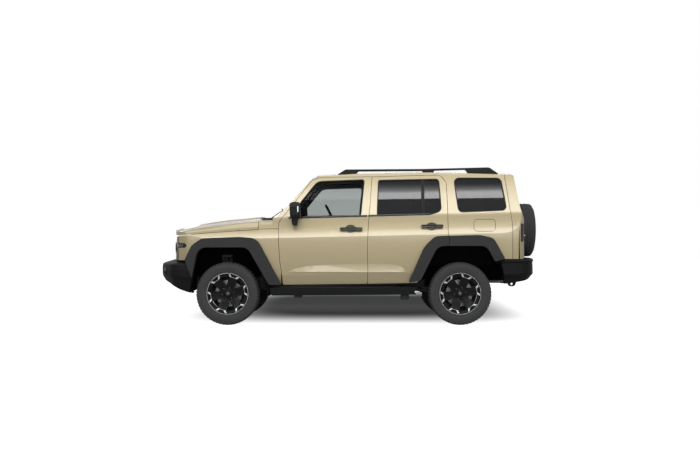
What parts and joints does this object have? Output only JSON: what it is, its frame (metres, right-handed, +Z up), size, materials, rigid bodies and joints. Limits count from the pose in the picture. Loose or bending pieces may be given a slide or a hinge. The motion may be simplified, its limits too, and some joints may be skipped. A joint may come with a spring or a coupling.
{
  "type": "off-road vehicle",
  "caption": "Lifted off-road vehicle with hinged doors, bonnet and tailgate carrying a covered spare wheel, steered front wheels and a ladder frame with a solid rear axle.",
  "frame": {"origin": "on the ground under the middle of the vehicle's length and width", "axes": "+X forward, +Y to the vehicle's left, +Z up"},
  "size_m": [4.6599, 2.1828, 1.8805],
  "materials": {
    "paint": "gloss sand-beige body paint",
    "glass": "lightly tinted window glass",
    "black_plastic": "grained dark grey plastic",
    "frame_steel": "black chassis paint",
    "casting": "raw castings",
    "tyre": "matt rubber with a block tread",
    "wheel_alloy": "gloss black alloy with bright machined edges",
    "fabric": "dark woven seat cloth",
    "lamp": "clear lamp lens",
    "lamp_red": "smoked red lamp lens"
  },
  "bodies": {
    "body": {"side_frame_left": "paint", "side_frame_right": "paint", "roof_panel": "paint", "floor_pan": "paint", "front_fenders": "paint", "fixed_glass": "glass", "arch_flares": "black_plastic", "grille_panel": "black_plastic", "headlamps": "lamp", "front_bumper": "black_plastic", "rear_bumper": "black_plastic", "front_liners": "black_plastic", "side_steps": "black_plastic", "roof_rails": "black_plastic", "chassis_frame": "frame_steel", "frame_brackets": "frame_steel", "cross_members": "frame_steel", "powertrain": "casting", "fuel_tank": "black_plastic", "exhaust": "frame_steel", "front_suspension": "frame_steel", "rear_axle": "frame_steel", "dashboard": "black_plastic", "steering_wheel": "black_plastic", "front_seats": "fabric", "bench_cushion": "fabric", "bench_backs": "fabric"},
    "hood": {"hood": "paint"},
    "tailgate": {"tailgate": "paint", "tailgate_glass": "glass", "tail_lamps": "lamp_red", "spare_wheel": "black_plastic"},
    "fuel_flap": {"fuel_flap": "paint"},
    "door_front_left": {"door_front_left": "paint", "door_glass_front_left": "glass", "mirror_left": "black_plastic"},
    "door_rear_left": {"door_rear_left": "paint", "door_glass_rear_left": "glass", "door_flare_left": "black_plastic"},
    "knuckle_left": {"knuckle_left": "frame_steel"},
    "wheel_front_left": {"tyre_front_left": "tyre", "rim_front_left": "wheel_alloy"},
    "wheel_rear_left": {"tyre_rear_left": "tyre", "rim_rear_left": "wheel_alloy"},
    "door_front_right": {"door_front_right": "paint", "door_glass_front_right": "glass", "mirror_right": "black_plastic"},
    "door_rear_right": {"door_rear_right": "paint", "door_glass_rear_right": "glass", "door_flare_right": "black_plastic"},
    "knuckle_right": {"knuckle_right": "frame_steel"},
    "wheel_front_right": {"tyre_front_right": "tyre", "rim_front_right": "wheel_alloy"},
    "wheel_rear_right": {"tyre_rear_right": "tyre", "rim_rear_right": "wheel_alloy"}
  },
  "joints": [
    {"name": "hood_hinge", "type": "hinge", "parent": "body", "child": "hood", "pos_m": [1.071, 0, 1.293], "axis": [0, -1, 0], "range_deg": [0, 50]},
    {"name": "tailgate_hinge", "type": "hinge", "parent": "body", "child": "tailgate", "pos_m": [-1.934, -0.928, 1.2], "axis": [0, 0, 1], "range_deg": [0, 80]},
    {"name": "fuel_flap_hinge", "type": "hinge", "parent": "body", "child": "fuel_flap", "pos_m": [-1.48, 0.92, 1.18], "axis": [0, 0, -1], "range_deg": [0, 90]},
    {"name": "door_front_left_hinge", "type": "hinge", "parent": "body", "child": "door_front_left", "pos_m": [0.829, 0.928, 1], "axis": [0, 0, -1], "range_deg": [0, 65]},
    {"name": "door_rear_left_hinge", "type": "hinge", "parent": "body", "child": "door_rear_left", "pos_m": [-0.221, 0.928, 1], "axis": [0, 0, -1], "range_deg": [0, 65]},
    {"name": "door_front_right_hinge", "type": "hinge", "parent": "body", "child": "door_front_right", "pos_m": [0.829, -0.928, 1], "axis": [0, 0, 1], "range_deg": [0, 65]},
    {"name": "door_rear_right_hinge", "type": "hinge", "parent": "body", "child": "door_rear_right", "pos_m": [-0.221, -0.928, 1], "axis": [0, 0, 1], "range_deg": [0, 65]},
    {"name": "steer_left", "type": "hinge", "parent": "body", "child": "knuckle_left", "pos_m": [1.432, 0.725, 0.372], "axis": [0, 0, 1], "range_deg": [-32, 32]},
    {"name": "spin_front_left", "type": "hinge", "parent": "knuckle_left", "child": "wheel_front_left", "pos_m": [1.432, 0.804, 0.372], "axis": [0, 1, 0], "continuous": true},
    {"name": "steer_right", "type": "hinge", "parent": "body", "child": "knuckle_right", "pos_m": [1.432, -0.725, 0.372], "axis": [0, 0, 1], "range_deg": [-32, 32]},
    {"name": "spin_front_right", "type": "hinge", "parent": "knuckle_right", "child": "wheel_front_right", "pos_m": [1.432, -0.804, 0.372], "axis": [0, 1, 0], "continuous": true},
    {"name": "spin_rear_left", "type": "hinge", "parent": "body", "child": "wheel_rear_left", "pos_m": [-1.318, 0.804, 0.372], "axis": [0, 1, 0], "continuous": true},
    {"name": "spin_rear_right", "type": "hinge", "parent": "body", "child": "wheel_rear_right", "pos_m": [-1.318, -0.804, 0.372], "axis": [0, 1, 0], "continuous": true}
  ],
  "couplings": [
    {"joint": "steer_right", "follows": "steer_left", "ratio": 1}
  ]
}
